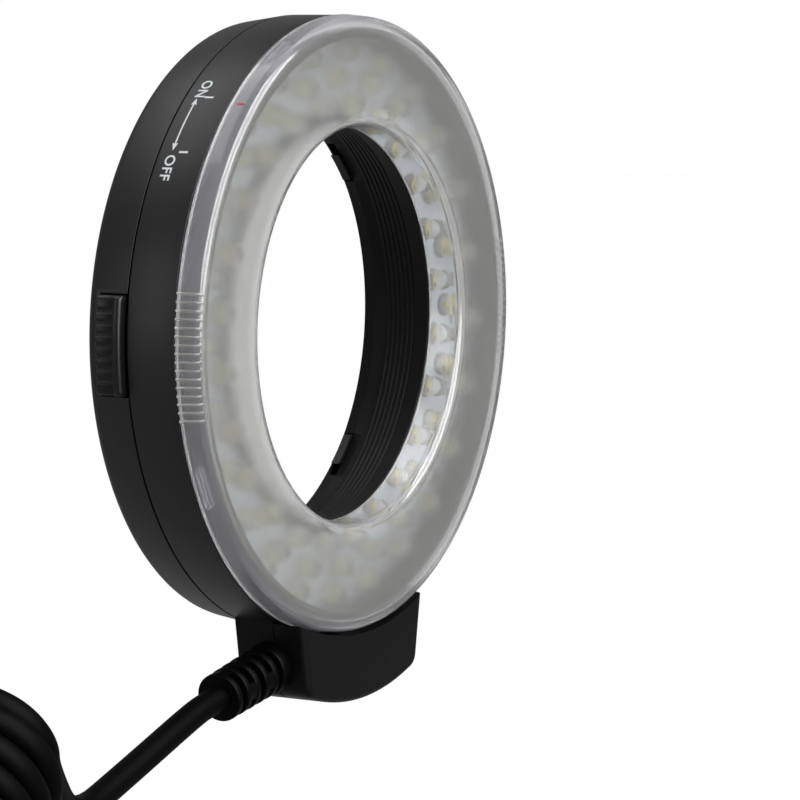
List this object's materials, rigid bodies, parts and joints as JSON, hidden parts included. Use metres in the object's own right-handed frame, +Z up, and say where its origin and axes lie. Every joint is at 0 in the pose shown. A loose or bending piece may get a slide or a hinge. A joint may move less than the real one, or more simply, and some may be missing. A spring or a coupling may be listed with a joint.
{
  "type": "ring flash",
  "caption": "Ring light for close-up photography: a frosted ring of lamps round the lens bore, latch buttons at both sides, a terminal block below with a curly cord and plug.",
  "frame": {"origin": "centre of the adapter seat in the bore, on the lens axis", "axes": "+Y along the lens axis towards the camera, so the light shines towards -Y; +Z up, with the terminal block and its cord at -Z"},
  "size_m": [0.2419, 0.0451, 0.272],
  "materials": {
    "shell_plastic": "fine matt black moulding",
    "bore_plastic": "matt black moulding with fine grooves",
    "diffuser_plastic": "clear moulding with a frosted face",
    "board_white": "white solder mask",
    "lamp_lens": "clear moulded lamp",
    "component_black": "black",
    "connector_white": "natural white",
    "board_green": "green solder mask",
    "wire_red": "insulated wire",
    "wire_grey": "insulated wires",
    "screw_steel": "blackened steel",
    "slider_plastic": "grey sliding plastic",
    "spring_steel": "spring steel",
    "cord_rubber": "satin black jacket",
    "plug_plastic": "black grip",
    "contact_brass": "gilt"
  },
  "bodies": {
    "head": {"rear_cover": "shell_plastic", "front_shell": "shell_plastic", "lens_bore": "bore_plastic", "block_cover": "shell_plastic", "lamp_board": "board_white", "lamps_inner_row": "lamp_lens", "lamps_middle_row": "lamp_lens", "lamps_outer_row": "lamp_lens", "board_resistors": "component_black", "board_connector": "connector_white", "terminal_board": "board_green", "lamp_wires": "wire_red", "cord_conductors": "wire_grey", "cover_screws": "screw_steel", "block_screws": "screw_steel", "latch_spring_left": "spring_steel", "latch_spring_right": "spring_steel", "strain_relief": "cord_rubber", "lead_cord": "cord_rubber", "curly_cord": "cord_rubber", "tail_cord": "cord_rubber", "plug_boot": "cord_rubber", "plug_body": "plug_plastic", "contact_sleeve": "contact_brass", "contact_ring": "contact_brass", "contact_tip": "contact_brass", "contact_insulators": "component_black"},
    "diffuser": {"diffuser": "diffuser_plastic"},
    "latch_left": {"latch_slider_left": "slider_plastic", "latch_button_left": "shell_plastic"},
    "latch_right": {"latch_slider_right": "slider_plastic", "latch_button_right": "shell_plastic"}
  },
  "joints": [
    {"name": "diffuser_bayonet", "type": "hinge", "parent": "head", "child": "diffuser", "pos_m": [0, 0, 0], "axis": [0, -1, 0], "range_deg": [0, 12.7]},
    {"name": "latch_left", "type": "slide", "parent": "head", "child": "latch_left", "axis": [1, 0, 0], "range_m": [0, 0.0018], "stiffness_N_per_m": 600, "springref_m": -0.002, "deforming": ["latch_spring_left"]},
    {"name": "latch_right", "type": "slide", "parent": "head", "child": "latch_right", "axis": [-1, 0, 0], "range_m": [0, 0.0018], "stiffness_N_per_m": 600, "springref_m": -0.002, "deforming": ["latch_spring_right"]}
  ]
}
